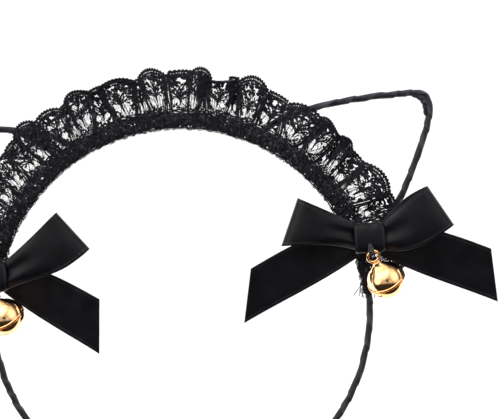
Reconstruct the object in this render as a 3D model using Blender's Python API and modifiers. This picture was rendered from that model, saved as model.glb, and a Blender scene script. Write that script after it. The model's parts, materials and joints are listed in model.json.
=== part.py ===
"""Cat-ear headband: a wire hoop with a lace ruffle, two wire ears, and two bows with jingle bells.

Metres, +Z up, -Y the side that faces forward. The origin is on the head side of the crown, where
the headband rests on the head. +X points to the wearer's left, and it is called right in the part
names because it is on the right from the front. Each ear, bell hanger, bell and pellet is
parented to an empty that stands on its joint's axis.
"""
from math import acos, asin, atan2, cos, pi, radians, sin

import bmesh
import bpy
from mathutils import Matrix, Vector

MM = 0.001
UP = Vector((0, 0, 1))

# Hoop: a steel wire bound in ribbon, bent to a circle over the head
SEAT_RADIUS = 65.0 * MM
HOOP_RADIUS = 67.0 * MM
ARM_ANGLE = radians(129)
TIP_X = 42.0 * MM
TIP_Z = -60.0 * MM
WIRE_RADIUS = 0.6 * MM
WRAP_RADIUS = 1.2 * MM
WRAP_WALL = 0.3 * MM
CAP_LENGTH = 7.0 * MM
CAP_RADIUS = 2.0 * MM
CAP_BORE = 1.5 * MM

# Lace: a gathered heading over the wire and an openwork ruffle outside it
LACE_ANGLE = radians(86)
HEADING_WIDTH = 5.2 * MM
HEADING_DEPTH = -2.4 * MM
HEADING_THICKNESS = 0.8 * MM
RUFFLE_INNER = 71.2 * MM
RUFFLE_OUTER = 85.0 * MM
RUFFLE_DEPTH = -2.4 * MM
RUFFLE_THICKNESS = 0.5 * MM
RUFFLE_WAVE = 2.4 * MM
RUFFLE_FOLDS = 24
SCALLOP_HEIGHT = 1.6 * MM
THREAD_RADIUS = 0.3 * MM

# Ears: bound wire loops that stand behind the lace, in hoop-centred X and Z
EAR_DEPTH = 3.1 * MM
EAR_INNER_FOOT = radians(21.5)
EAR_OUTER_FOOT = radians(82.5)
EAR_STUB = radians(1.7)
EAR_BENDS = [(32.6, 61.3), (42.2, 66.0), (54.4, 68.8), (69.8, 70.6), (86.9, 71.1), (92.0, 70.3),
             (94.0, 66.4), (92.9, 60.0), (89.3, 51.0), (84.8, 41.1), (79.9, 32.4), (73.6, 23.4),
             (68.0, 15.6)]
LASHING_LENGTH = 3.4 * MM
LASHING_RADIUS = 1.85 * MM
LASHING_WALL = 0.3 * MM

# Bows: 16 mm ribbon, with loops in front of the tails
RIBBON_WIDTH = 16.0 * MM
RIBBON_THICKNESS = 0.4 * MM
KNOT_SIZE = Vector((10.4, 7.2, 11.6)) * MM
KNOT_DEPTH = -12.0 * MM
LOOP_MOUTH = 5.7 * MM
LOOP_HOLLOW = 5.8 * MM
TAIL_DEPTH = -6.0 * MM
TAIL_START = 3.2 * MM
TAIL_SLANT = 0.55
TAIL_WAVE = 0.3 * MM
PAD_SIZE = Vector((5.0, 3.6, 7.0)) * MM
STRAP_WIDTH = 4.0 * MM
STRAP_WALL = 0.3 * MM
BOWS = {
    "right": {"angle": radians(72.6), "radius": 70.9 * MM, "loops": (28.0 * MM, 26.9 * MM),
              "loop_tilt": radians(18), "tails": (47.0 * MM, 46.3 * MM), "tail_tilt": radians(-21.5),
              "ring_top": (-0.4 * MM, -4.8 * MM), "lean": radians(26)},
    "left": {"angle": radians(-74.2), "radius": 66.0 * MM, "loops": (27.3 * MM, 32.0 * MM),
             "loop_tilt": radians(24), "tails": (42.0 * MM, 40.5 * MM), "tail_tilt": radians(-30.5),
             "ring_top": (-1.0 * MM, -3.8 * MM), "lean": radians(23)},
}

# Bells: two crimped half shells, a neck, a ring and a loose pellet
BELL_RADIUS = 6.5 * MM
BELL_WALL = 0.5 * MM
CRIMP_RADIUS = 6.8 * MM
CRIMP_GAP = 0.15 * MM
CRIMP_HEIGHT = 0.55 * MM
NECK_HEIGHT = 1.7 * MM
NECK_RADIUS = 1.0 * MM
NECK_FOOT_RADIUS = 2.1 * MM
RING_RADIUS = 2.05 * MM
RING_WIRE = 0.45 * MM
RING_TO_BELL = 10.9 * MM
BELL_TILT = radians(28)
BELL_RING_DEPTH = -18.6 * MM
SLOT_WIDTH = 1.3 * MM
SLOT_REACH = 4.2 * MM
SLOT_HOLE_RADIUS = 1.3 * MM
PELLET_RADIUS = 1.5 * MM
HANGER_CLEARANCE = 0.4 * MM
HANGER_TOP = Vector((0.0, -16.4, -2.9)) * MM


def clear_scene():
    for thing in list(bpy.data.objects):
        bpy.data.objects.remove(thing, do_unlink=True)


def new_collection(name):
    group = bpy.data.collections.new(name)
    bpy.context.scene.collection.children.link(group)
    return group


def principled(name, colour, roughness, metallic=0.0):
    material = bpy.data.materials.new(name)
    material.use_nodes = True
    shader = material.node_tree.nodes["Principled BSDF"]
    shader.inputs["Base Color"].default_value = (*colour, 1.0)
    shader.inputs["Roughness"].default_value = roughness
    shader.inputs["Metallic"].default_value = metallic
    return material


def add_object(name, data, material, parent=None):
    """A new object in the headband's collection, with its material and parent."""
    data.materials.append(material)
    thing = bpy.data.objects.new(name, data)
    thing.parent = parent
    HEADBAND.objects.link(thing)
    return thing


def mesh_from(name, shape):
    mesh = bpy.data.meshes.new(name)
    bmesh.ops.recalc_face_normals(shape, faces=shape.faces)
    shape.to_mesh(mesh)
    shape.free()
    mesh.shade_smooth()
    mesh.set_sharp_from_angle(angle=radians(40))
    return mesh


def pivot(name, place, turn=(0.0, 0.0, 0.0), parent=None):
    """An empty on a joint's axis."""
    empty = bpy.data.objects.new(name, None)
    empty.empty_display_size = 5 * MM
    empty.location = place
    empty.rotation_euler = turn
    empty.parent = parent
    HEADBAND.objects.link(empty)
    return empty


def on_hoop(angle, radius, depth=0.0):
    """The point at an angle from the crown, positive towards +X, and a radius from the hoop's centre."""
    return Vector((radius * sin(angle), depth, radius * cos(angle) - SEAT_RADIUS))


def solidify(thing, thickness, offset=0.0):
    shell = thing.modifiers.new("thickness", "SOLIDIFY")
    shell.thickness = thickness
    shell.offset = offset
    shell.use_even_offset = True


def curve_through(name, points, cyclic=False):
    """A curve data block with one POLY spline through the points."""
    curve = bpy.data.curves.new(name, "CURVE")
    curve.dimensions = "3D"
    spline = curve.splines.new("POLY")
    spline.points.add(len(points) - 1)
    for knot, place in zip(spline.points, points):
        knot.co = (*place, 1.0)
    spline.use_cyclic_u = cyclic
    return curve


def rod(name, points, radius, material, parent=None, sides=2):
    """A solid round rod along a path. Its section has 2 * sides + 4 corners."""
    curve = curve_through(name, points)
    curve.bevel_depth = radius
    curve.bevel_resolution = sides - 1
    curve.use_fill_caps = True
    return add_object(name, curve, material, parent)


def sleeve(name, points, radius, wall, material, parent=None):
    """A round tube along a path, open at both ends, with its wall inside the radius."""
    curve = curve_through(name, points)
    curve.bevel_depth = radius
    curve.bevel_resolution = 2
    tube = add_object(name, curve, material, parent)
    solidify(tube, wall, offset=-1.0)
    return tube


def band_loop(name, outline, width, wall, material):
    """A flat band of ribbon that follows a closed outline. The outline is in local X and Y."""
    curve = curve_through(name, outline, cyclic=True)
    curve.extrude = width / 2
    loop = add_object(name, curve, material)
    solidify(loop, wall)
    return loop


def mapped_sheet(name, columns, rows, place, thickness, material):
    """A grid whose points are put where place(s, t) says, s and t from 0 to 1, made solid."""
    shape = bmesh.new()
    bmesh.ops.create_grid(shape, x_segments=columns, y_segments=rows, size=0.5)
    for vertex in shape.verts:
        vertex.co = place(vertex.co.x + 0.5, vertex.co.y + 0.5)
    sheet = add_object(name, mesh_from(name, shape), material)
    solidify(sheet, thickness)
    return sheet


def turned(name, profile, steps, material, parent=None):
    """A solid of revolution about local Z. The profile holds (radius, height) pairs."""
    mesh = bpy.data.meshes.new(name)
    corners = [(radius, 0.0, height) for radius, height in profile]
    edges = [(i, i + 1) for i in range(len(corners) - 1)]
    mesh.from_pydata(corners, edges, [])
    solid = add_object(name, mesh, material, parent)
    screw = solid.modifiers.new("turn", "SCREW")
    screw.steps = steps
    screw.render_steps = steps
    screw.use_merge_vertices = True
    screw.merge_threshold = 0.00001
    screw.use_smooth_shade = True
    return solid


def smooth_path(points, steps):
    """Points along a Catmull-Rom curve through the given ones."""
    ends = [2 * points[0] - points[1], *points, 2 * points[-1] - points[-2]]
    path = []
    for a, b, c, d in zip(ends, ends[1:], ends[2:], ends[3:]):
        for i in range(steps):
            t = i / steps
            path.append(0.5 * (2 * b + (c - a) * t + (2 * a - 5 * b + 4 * c - d) * t * t
                               + (3 * b - a - 3 * c + d) * t ** 3))
    return [*path, points[-1]]


def arm_tip(side):
    """The last stretch of one arm, from the end of the arc to the tip, a gentle reverse curve."""
    start = on_hoop(side * ARM_ANGLE, HOOP_RADIUS)
    along = Vector((cos(ARM_ANGLE) * side, 0, -sin(ARM_ANGLE)))
    end = Vector((side * TIP_X, 0, TIP_Z - SEAT_RADIUS))
    leaving = Vector((-0.33 * side, 0, -0.944))
    handle = 7.0 * MM
    corners = (start, start + along * handle, end - leaving * handle, end)
    path = []
    for i in range(1, 7):
        t = i / 6
        weights = ((1 - t) ** 3, 3 * t * (1 - t) ** 2, 3 * t * t * (1 - t), t ** 3)
        path.append(sum((weight * corner for weight, corner in zip(weights, corners)), Vector()))
    return path


def hoop_path():
    """The hoop's centre line from the -X tip over the crown to the +X tip."""
    steps = 48
    arc = [on_hoop(ARM_ANGLE * (2 * i / steps - 1), HOOP_RADIUS) for i in range(steps + 1)]
    return [*reversed(arm_tip(-1)), *arc, *arm_tip(1)]


def make_hoop():
    path = hoop_path()
    rod("hoop_wire", path, WIRE_RADIUS, STEEL)
    sleeve("hoop_wrap", path, WRAP_RADIUS, WRAP_WALL, SATIN)
    for side, name in ((-1, "tip_cap_left"), (1, "tip_cap_right")):
        tip, before = arm_tip(side)[-1], arm_tip(side)[-2]
        cap = turned(name, cap_profile(), 16, RUBBER)
        cap.location = tip
        cap.rotation_euler = (before - tip).to_track_quat("Z", "Y").to_euler()


def cap_profile():
    """A round-nosed cap whose blind bore takes the bound wire, its floor just past the wire's end."""
    floor = -0.4 * MM
    rim = CAP_LENGTH - CAP_RADIUS
    nose = floor - 0.4 * MM
    profile = [(0, floor), (CAP_BORE, floor), (CAP_BORE, rim), (CAP_RADIUS, rim)]
    for i in range(5):
        angle = i / 4 * pi / 2
        profile.append((CAP_RADIUS * cos(angle), nose - CAP_RADIUS * 0.8 * sin(angle)))
    profile[-1] = (0, profile[-1][1])
    return profile


def make_lace():
    def heading(s, t):
        angle = LACE_ANGLE * (2 * s - 1)
        return on_hoop(angle, SEAT_RADIUS + HEADING_WIDTH * t, HEADING_DEPTH)

    def ruffle(s, t):
        angle = LACE_ANGLE * (2 * s - 1)
        fold = 2 * pi * RUFFLE_FOLDS * s
        scallop = SCALLOP_HEIGHT * abs(sin(fold / 2 + 0.4)) * t
        radius = RUFFLE_INNER + (RUFFLE_OUTER - SCALLOP_HEIGHT / 2 - RUFFLE_INNER) * t + scallop
        wave = RUFFLE_WAVE * sin(fold) * (0.35 + 0.65 * t)
        return on_hoop(angle, radius, RUFFLE_DEPTH + wave)

    mapped_sheet("lace_heading", 60, 1, heading, HEADING_THICKNESS, LACE)
    mapped_sheet("lace_ruffle", 6 * RUFFLE_FOLDS, 2, ruffle, RUFFLE_THICKNESS, LACE)
    front = HEADING_DEPTH - HEADING_THICKNESS / 2 - THREAD_RADIUS - 0.3 * MM
    steps = 48
    line = [on_hoop(LACE_ANGLE * (2 * i / steps - 1) * 0.99, HOOP_RADIUS + 1.6 * MM, front)
            for i in range(steps + 1)]
    rod("gathering_thread", line, THREAD_RADIUS, THREAD, sides=1)


def ear_path(side):
    """One ear's centre line, from the stub by the crown round the tip to the outer stub."""
    inner = [on_hoop(EAR_INNER_FOOT + EAR_STUB * k, HOOP_RADIUS, EAR_DEPTH) for k in (-1, 0, 1)]
    outer = [on_hoop(EAR_OUTER_FOOT + EAR_STUB * k, HOOP_RADIUS, EAR_DEPTH) for k in (-1, 0, 1)]
    bends = [Vector((x * MM, EAR_DEPTH, z * MM - SEAT_RADIUS)) for x, z in EAR_BENDS]
    path = smooth_path([*inner, *bends, *outer], 2)
    return [Vector((side * place.x, place.y, place.z)) for place in path]


def make_ear(side, word):
    """A bound wire loop. Its two feet lie along the hoop, and it tilts about the line between them."""
    foot = on_hoop(side * EAR_INNER_FOOT, HOOP_RADIUS, EAR_DEPTH)
    hinge = pivot(f"ear_{word}_hinge", foot)
    path = [place - foot for place in ear_path(side)]
    rod(f"ear_{word}_wire", path, WIRE_RADIUS, STEEL, hinge)
    sleeve(f"ear_{word}_wrap", path, WRAP_RADIUS, WRAP_WALL, SATIN, hinge)
    for angle, where in ((EAR_INNER_FOOT, "inner"), (EAR_OUTER_FOOT, "outer")):
        make_lashing(f"ear_{word}_{where}_lashing", side * angle)


def make_lashing(name, angle):
    """Ribbon turns round the hoop and one ear foot, loose enough for the foot to twist."""
    front_centre = 0.25 * MM
    back_centre = EAR_DEPTH + 0.15 * MM
    outline = []
    for i in range(20):
        turn = 2 * pi * (i + 0.5) / 20
        middle = back_centre if sin(turn) > 0 else front_centre
        outline.append(Vector((LASHING_RADIUS * cos(turn), middle + LASHING_RADIUS * sin(turn), 0)))
    lashing = band_loop(name, outline, LASHING_LENGTH, LASHING_WALL, SATIN)
    lashing.matrix_world = hoop_frame(angle, HOOP_RADIUS)


def hoop_frame(angle, radius):
    """Local X outwards, Y backwards and Z along the hoop, at a place on it."""
    outward = Vector((sin(angle), 0, cos(angle)))
    backward = Vector((0, 1, 0))
    frame = Matrix((outward, backward, outward.cross(backward))).transposed()
    return Matrix.Translation(on_hoop(angle, radius)) @ frame.to_4x4()


def make_bow(word, bow):
    centre = on_hoop(bow["angle"], bow["radius"], KNOT_DEPTH)
    make_strap(f"bow_{word}_strap", bow["angle"])
    make_block(f"bow_{word}_pad", PAD_SIZE, Vector((centre.x, TAIL_DEPTH, centre.z)), 0.8 * MM)
    make_block(f"bow_{word}_knot", KNOT_SIZE, centre, 2.4 * MM)
    for k, way, length, tail in zip((-1, 1), ("a", "b"), bow["loops"], bow["tails"]):
        make_loop(f"bow_{word}_loop_{way}", centre, k, bow["loop_tilt"], length)
        make_tail(f"bow_{word}_tail_{way}", centre, k, bow["tail_tilt"], tail)


def make_block(name, size, place, rounding):
    """A soft block with rounded edges."""
    shape = bmesh.new()
    bmesh.ops.create_cube(shape, size=1.0)
    bmesh.ops.scale(shape, vec=size, verts=shape.verts)
    block = add_object(name, mesh_from(name, shape), SATIN)
    block.location = place
    edge = block.modifiers.new("rounding", "BEVEL")
    edge.width = rounding
    edge.segments = 3


def make_strap(name, angle):
    """The pass of ribbon round the hoop and the lace heading that a bow is sewn to."""
    inner, outer = SEAT_RADIUS - 0.5 * MM, SEAT_RADIUS + HEADING_WIDTH + 0.5 * MM
    back, front = WRAP_RADIUS + 0.5 * MM, HEADING_DEPTH - 1.5 * MM
    outline = [Vector((x - HOOP_RADIUS, y, 0)) for x, y in
               ((inner, front), (outer, front), (outer, back), (inner, back))]
    strap = band_loop(name, outline, STRAP_WIDTH, STRAP_WALL, SATIN)
    strap.matrix_world = hoop_frame(angle, HOOP_RADIUS)


def ribbon_axes(k, tilt):
    """Unit vectors along a ribbon that leaves a bow's knot, and up across its width."""
    along = Vector((k * cos(tilt), 0, sin(tilt)))
    across = Vector((-k * sin(tilt), 0, cos(tilt)))
    return along, across


def make_loop(name, centre, k, tilt, length):
    """A ribbon loop: out behind, round the fold and back in front, gathered in at the knot."""
    along, across = ribbon_axes(k, tilt)
    half = LOOP_HOLLOW / 2
    run = length - LOOP_MOUTH
    mouth = centre + Vector((k * LOOP_MOUTH, 0, 0))
    route = smooth_path([Vector(place) for place in (
        (0, 0.45 * half, 0), (0.3 * run, 0.9 * half, 0), (0.7 * run, half, 0),
        (0.93 * run, 0.7 * half, 0), (run, 0, 0), (0.93 * run, -0.7 * half, 0),
        (0.7 * run, -half, 0), (0.3 * run, -0.9 * half, 0), (0, -0.45 * half, 0))], 2)

    def place(s, t):
        reach, depth, _ = route[round(s * (len(route) - 1))]
        spread = max(0.0, min(1.0, reach / (0.6 * run)))
        width = RIBBON_WIDTH * (0.62 + 0.38 * spread * (2 - spread))
        sideways = UP.lerp(across, spread)
        return mouth + along * reach + sideways * (t - 0.5) * width + Vector((0, depth, 0))

    mapped_sheet(name, len(route) - 1, 3, place, RIBBON_THICKNESS, SATIN)


def make_tail(name, centre, k, tilt, length):
    """A ribbon tail that hangs from behind the knot and ends in a slanting cut."""
    along, across = ribbon_axes(k, tilt)
    mouth = Vector((centre.x + k * TAIL_START, TAIL_DEPTH, centre.z))

    def place(s, t):
        cut = (t - 0.5) * RIBBON_WIDTH * TAIL_SLANT
        spread = min(1.0, 3 * s)
        reach = (length - TAIL_START - cut * s) * s
        width = RIBBON_WIDTH * (0.62 + 0.38 * spread)
        sideways = UP.lerp(across, spread)
        wave = TAIL_WAVE * sin(2 * pi * s)
        return mouth + along * reach + sideways * (t - 0.5) * width + Vector((0, wave, 0))

    mapped_sheet(name, 12, 2, place, RIBBON_THICKNESS, SATIN)


def make_bell(word, bow):
    """A jingle bell on a loop of thread. The thread swings on the knot and the bell on the thread."""
    knot = on_hoop(bow["angle"], bow["radius"])
    ring_x, ring_z = bow["ring_top"]
    top = knot + HANGER_TOP + Vector((ring_x, 0, 0))
    ring_top = knot + Vector((ring_x, BELL_RING_DEPTH, ring_z))
    sway = pivot(f"bell_{word}_sway_axis", top)
    rod(f"bell_{word}_hanger", hanger_path(ring_top - top), THREAD_RADIUS, THREAD, sway, sides=1)
    nod = pivot(f"bell_{word}_nod_axis", ring_top - top, (BELL_TILT, -bow["lean"], 0), sway)
    make_ring(f"bell_{word}_ring", nod)
    middle = Vector((0, 0, -RING_RADIUS - RING_TO_BELL))
    upper = turned(f"bell_{word}_upper_shell", upper_shell_profile(), 20, GOLD, nod)
    lower = turned(f"bell_{word}_lower_shell", lower_shell_profile(), 20, GOLD, nod)
    upper.location = middle
    lower.location = middle
    cut_slot(lower, nod, middle, word)
    rattle = pivot(f"bell_{word}_rattle_axis", middle, parent=nod)
    make_pellet(f"bell_{word}_pellet", rattle)


def hanger_path(ring_top):
    """A thread that leaves the knot at the local origin, passes round the ring's top and returns."""
    reach = RING_WIRE + HANGER_CLEARANCE + THREAD_RADIUS
    heading = atan2(ring_top.z, ring_top.y)
    spread = pi - acos(reach / ring_top.length)
    gap = 1.5 * THREAD_RADIUS
    aside = Vector((0, -sin(heading), cos(heading)))
    steps = 8
    bend = []
    for i in range(steps + 1):
        angle = heading + spread * (1 - 2 * i / steps)
        bend.append(ring_top + reach * Vector((0, cos(angle), sin(angle))))
    return [aside * gap, *bend, -aside * gap]


def make_ring(name, parent):
    """A wire ring whose topmost wire is at the local origin."""
    bpy.ops.mesh.primitive_torus_add(major_radius=RING_RADIUS, minor_radius=RING_WIRE,
                                     major_segments=20, minor_segments=8)
    ring = bpy.context.object
    bpy.context.collection.objects.unlink(ring)
    HEADBAND.objects.link(ring)
    ring.name = name
    ring.data.materials.append(GOLD)
    ring.data.shade_smooth()
    ring.data.transform(Matrix.Rotation(pi / 2, 4, "X"))
    ring.location = (0, 0, -RING_RADIUS)
    ring.parent = parent


def shell_arc(radius, first, last, steps):
    """(radius, height) pairs on a sphere, at angles measured from its top."""
    angles = [first + (last - first) * i / steps for i in range(steps + 1)]
    return [(radius * sin(angle), radius * cos(angle)) for angle in angles]


def upper_shell_profile():
    """The neck, the upper half sphere and its crimped rim, then back up the inside."""
    neck = [(0, BELL_RADIUS + NECK_HEIGHT), (NECK_RADIUS, BELL_RADIUS + NECK_HEIGHT),
            (NECK_RADIUS * 1.1, BELL_RADIUS + NECK_HEIGHT * 0.4)]
    outside = shell_arc(BELL_RADIUS, asin(NECK_FOOT_RADIUS / BELL_RADIUS), radians(85), 6)
    rim = [(CRIMP_RADIUS, CRIMP_HEIGHT), (CRIMP_RADIUS, CRIMP_GAP),
           (BELL_RADIUS - BELL_WALL, CRIMP_GAP)]
    inside = shell_arc(BELL_RADIUS - BELL_WALL, radians(82), 0, 6)
    inside[-1] = (0, BELL_RADIUS - BELL_WALL)
    return [*neck, *outside, *rim, *inside]


def lower_shell_profile():
    """The inside of the lower half sphere from its floor up, over the rim and down the outside."""
    inside = shell_arc(BELL_RADIUS - BELL_WALL, pi, radians(98), 6)
    inside[0] = (0, -(BELL_RADIUS - BELL_WALL))
    rim = [(BELL_RADIUS - BELL_WALL, -CRIMP_GAP), (CRIMP_RADIUS, -CRIMP_GAP),
           (CRIMP_RADIUS, -CRIMP_HEIGHT)]
    outside = shell_arc(BELL_RADIUS, radians(95), pi, 6)
    outside[-1] = (0, -BELL_RADIUS)
    return [*inside, *rim, *outside]


def cut_slot(shell, parent, middle, word):
    """A sound slot across the bell's underside with a round hole at each end."""
    slot = bmesh.new()
    bmesh.ops.create_cube(slot, size=1.0)
    bmesh.ops.scale(slot, vec=(2 * SLOT_REACH, SLOT_WIDTH, BELL_RADIUS), verts=slot.verts)
    holes = bmesh.new()
    for x in (-SLOT_REACH, SLOT_REACH):
        bmesh.ops.create_cone(holes, segments=14, radius1=SLOT_HOLE_RADIUS, radius2=SLOT_HOLE_RADIUS,
                              depth=BELL_RADIUS, cap_ends=True, matrix=Matrix.Translation((x, 0, 0)))
    for name, shape in (("slot", slot), ("holes", holes)):
        cutter = bpy.data.objects.new(f"cutter_{word}_{name}", mesh_from(name, shape))
        CUTTERS.objects.link(cutter)
        cutter.parent = parent
        cutter.location = middle - Vector((0, 0, BELL_RADIUS))
        cutter.hide_render = True
        cutter.display_type = "WIRE"
        cut = shell.modifiers.new(name, "BOOLEAN")
        cut.object = cutter
        cut.operation = "DIFFERENCE"
        cut.solver = "EXACT"


def make_pellet(name, parent):
    """A steel ball that lies at the bottom of the bell."""
    shape = bmesh.new()
    bmesh.ops.create_uvsphere(shape, u_segments=10, v_segments=8, radius=PELLET_RADIUS)
    pellet = add_object(name, mesh_from(name, shape), STEEL, parent)
    pellet.location = (0, 0, -(BELL_RADIUS - BELL_WALL - PELLET_RADIUS - 0.4 * MM))


clear_scene()
HEADBAND = new_collection("animal_ears_headband")
CUTTERS = new_collection("cutters")
STEEL = principled("steel_wire", (0.45, 0.45, 0.47), 0.35, 1.0)
SATIN = principled("black_satin", (0.012, 0.011, 0.014), 0.42)
LACE = principled("black_lace", (0.006, 0.006, 0.009), 0.75)
THREAD = principled("black_thread", (0.008, 0.008, 0.010), 0.7)
RUBBER = principled("black_rubber", (0.015, 0.015, 0.016), 0.5)
GOLD = principled("gold_plate", (0.93, 0.62, 0.26), 0.14, 1.0)

make_hoop()
make_lace()
for ear_side, ear_word in ((1, "right"), (-1, "left")):
    make_ear(ear_side, ear_word)
for bow_word, bow_spec in BOWS.items():
    make_bow(bow_word, bow_spec)
    make_bell(bow_word, bow_spec)
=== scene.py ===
"""Looks for the cat-ear headband: gathered lace, satin bows, ribbon-bound wire and gold bells."""
import json
from math import acos, asin, atan2, cos, pi, radians, sin, sqrt

import bmesh
import bpy
import numpy as np
from mathutils import Matrix, Vector


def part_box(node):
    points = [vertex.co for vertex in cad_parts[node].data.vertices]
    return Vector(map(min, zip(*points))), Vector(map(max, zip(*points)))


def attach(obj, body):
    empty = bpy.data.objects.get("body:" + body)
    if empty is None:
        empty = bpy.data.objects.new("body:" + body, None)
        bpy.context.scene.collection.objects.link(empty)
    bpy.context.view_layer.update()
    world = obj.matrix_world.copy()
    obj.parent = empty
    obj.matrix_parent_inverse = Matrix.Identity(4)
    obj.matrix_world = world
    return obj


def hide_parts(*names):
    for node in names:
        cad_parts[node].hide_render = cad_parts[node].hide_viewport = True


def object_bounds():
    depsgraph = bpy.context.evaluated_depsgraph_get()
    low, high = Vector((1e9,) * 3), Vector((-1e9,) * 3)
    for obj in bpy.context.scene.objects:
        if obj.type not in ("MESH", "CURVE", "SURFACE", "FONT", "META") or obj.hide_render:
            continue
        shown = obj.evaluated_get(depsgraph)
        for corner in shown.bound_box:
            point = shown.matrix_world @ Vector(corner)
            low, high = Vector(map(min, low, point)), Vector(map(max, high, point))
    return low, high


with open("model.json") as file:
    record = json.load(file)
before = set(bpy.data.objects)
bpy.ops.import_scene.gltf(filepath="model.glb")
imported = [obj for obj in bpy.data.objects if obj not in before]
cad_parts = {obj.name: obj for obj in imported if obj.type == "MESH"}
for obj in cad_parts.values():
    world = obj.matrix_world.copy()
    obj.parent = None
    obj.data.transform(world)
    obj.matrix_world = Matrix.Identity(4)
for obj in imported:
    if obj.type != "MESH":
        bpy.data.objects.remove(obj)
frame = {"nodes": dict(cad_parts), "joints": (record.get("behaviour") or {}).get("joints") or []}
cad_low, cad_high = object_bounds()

MM = 0.001
JOINTS = {joint["name"]: joint for joint in frame["joints"]}
CHANCE = np.random.default_rng(11)
uniform = CHANCE.uniform

# The hoop, read from the frame: its wrap gives the radius and the centre
wrap_low, wrap_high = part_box("hoop_wrap")
WRAP_RADIUS = (wrap_high.y - wrap_low.y) / 2
HOOP_RADIUS = wrap_high.x - WRAP_RADIUS
CENTRE_Z = wrap_high.z - HOOP_RADIUS - WRAP_RADIUS

# Lace
LACE_ANGLE = radians(86)
HEADING_INNER = 64.9 * MM
HEADING_OUTER = 70.6 * MM
HEM = 0.35 * MM
HEM_DEPTH = -1.5 * MM
HOLE_SHARE = 0.035
RUFFLE_START = 69.8 * MM
RUFFLE_EDGE = 85.3 * MM
FOLDS = 19
MOTIF = 11.0 * MM
STRIP_LENGTH = 2 * FOLDS * MOTIF
STRIP_WIDTH = 15.4 * MM
EDGE_BASE = 12.9 * MM
SCALLOP = 2.7 * MM
FOLD_DEPTH = 2.3 * MM
FOLD_SWELL = 2.0 * MM
FOLD_OVERHANG = 2.3 * MM
RUFFLE_MEAN = -2.4 * MM
ROLL = radians(112)
ROLL_START = 11.8 * MM
ROLL_RADIUS = 1.3 * MM

# Ribbon
RIBBON = 16.0 * MM
RIBBON_THICKNESS = 0.28 * MM
STITCH_INSET = 0.95 * MM

# The studio: how bright the tent is behind the object, against 1 for plain white; where its opening is; and
# its panels, each with its direction, the cosines where it starts and is full, and its brightness
TENT_BRIGHTNESS = 2.3
OPENING = (0.02, -1.0, -0.03)
PANELS = (
    ((-0.45, -0.55, 0.75), 0.62, 1.0, 2.0),
    ((0.75, -0.6, 0.25), 0.86, 0.98, 1.0),
    ((-0.87, -0.5, 0.05), 0.88, 0.98, 1.5),
)


# ---- mesh helpers ----

def make_object(name, points, faces, material, flat=None, outwards=False, crease=None, smooth=True):
    """A mesh object from point and face lists, with its material.

    flat is each point's place on the flat cloth in metres, for the materials to read. outwards turns all the
    faces out, and crease is the angle in degrees above which an edge stays sharp."""
    mesh = bpy.data.meshes.new(name)
    mesh.from_pydata([tuple(point) for point in points], [], faces)
    mesh.validate()
    mesh.materials.append(material)
    if smooth:
        mesh.shade_smooth()
    if flat is not None:
        layer = mesh.attributes.new("flat", "FLOAT_VECTOR", "POINT")
        layer.data.foreach_set("vector", np.asarray(flat, np.float32).ravel())
    if outwards:
        change_mesh(mesh, lambda shape: bmesh.ops.recalc_face_normals(shape, faces=shape.faces))
    if crease is not None:
        mesh.set_sharp_from_angle(angle=radians(crease))
    thing = bpy.data.objects.new(name, mesh)
    bpy.context.scene.collection.objects.link(thing)
    return thing


def change_mesh(mesh, change):
    """Runs a bmesh operation on a mesh."""
    shape = bmesh.new()
    shape.from_mesh(mesh)
    change(shape)
    shape.to_mesh(mesh)
    shape.free()


def grid_faces(rows, columns, start=0, around=False, closed=False):
    """Quads over a grid of points stored row by row.

    around joins each row's end to its start, and closed joins the last row to the first."""
    faces = []
    for i in range(rows if closed else rows - 1):
        row, after = start + i * columns, start + (i + 1) % rows * columns
        for j in range(columns if around else columns - 1):
            k = (j + 1) % columns
            faces.append((row + j, row + k, after + k, after + j))
    return faces


def hand_over(piece, body, slot, *nodes):
    """Says which body a piece moves with and which nodes it stands for; slot, where its finish would come
    from, is not used.
    """
    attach(piece, body)
    if nodes:
        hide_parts(*nodes)


def solidify(thing, thickness, offset=0):
    """Gives a sheet its thickness: offset 0 puts half of it on each side, and -1 all of it inside."""
    shell = thing.modifiers.new("thickness", "SOLIDIFY")
    shell.thickness = thickness
    shell.offset = offset


def sheet_object(name, rows, columns, place, material, outwards=True):
    """A sheet of ribbon. place(s, t), for s and t from 0 to 1, gives a point and its place on the cloth."""
    places = [place(i / (rows - 1), j / (columns - 1)) for i in range(rows) for j in range(columns)]
    points, flat = zip(*places)
    sheet = make_object(name, points, grid_faces(rows, columns), material, flat, outwards)
    solidify(sheet, RIBBON_THICKNESS)
    return sheet


def transported_frames(path):
    """Two unit vectors across the path at each point, turning as little as they can."""
    tangents = np.gradient(path, axis=0)
    tangents /= np.linalg.norm(tangents, axis=1)[:, None]
    across = np.zeros_like(path)
    helper = np.array([0.0, 1.0, 0.0])
    for i, tangent in enumerate(tangents):
        helper = helper - tangent * helper.dot(tangent)
        helper /= np.linalg.norm(helper)
        across[i] = helper
    return across, np.cross(tangents, across)


def tube_object(name, path, radius, sides, material):
    """A round tube. radius is a number or radius(length along, turn) in radians."""
    path = np.asarray(path, float)
    first, second = transported_frames(path)
    along = lengths_along(path)
    points, flat = [], []
    for i, centre in enumerate(path):
        for turn in np.arange(sides) * 2 * pi / sides:
            size = radius(along[i], turn) if callable(radius) else radius
            points.append(centre + size * (cos(turn) * first[i] + sin(turn) * second[i]))
            flat.append((along[i], turn * 1.2 * MM, size))
    faces = grid_faces(len(path), sides, around=True)
    faces.append(tuple(reversed(range(sides))))
    faces.append(tuple(range((len(path) - 1) * sides, len(path) * sides)))
    return make_object(name, points, faces, material, flat, outwards=True, crease=55)


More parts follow.
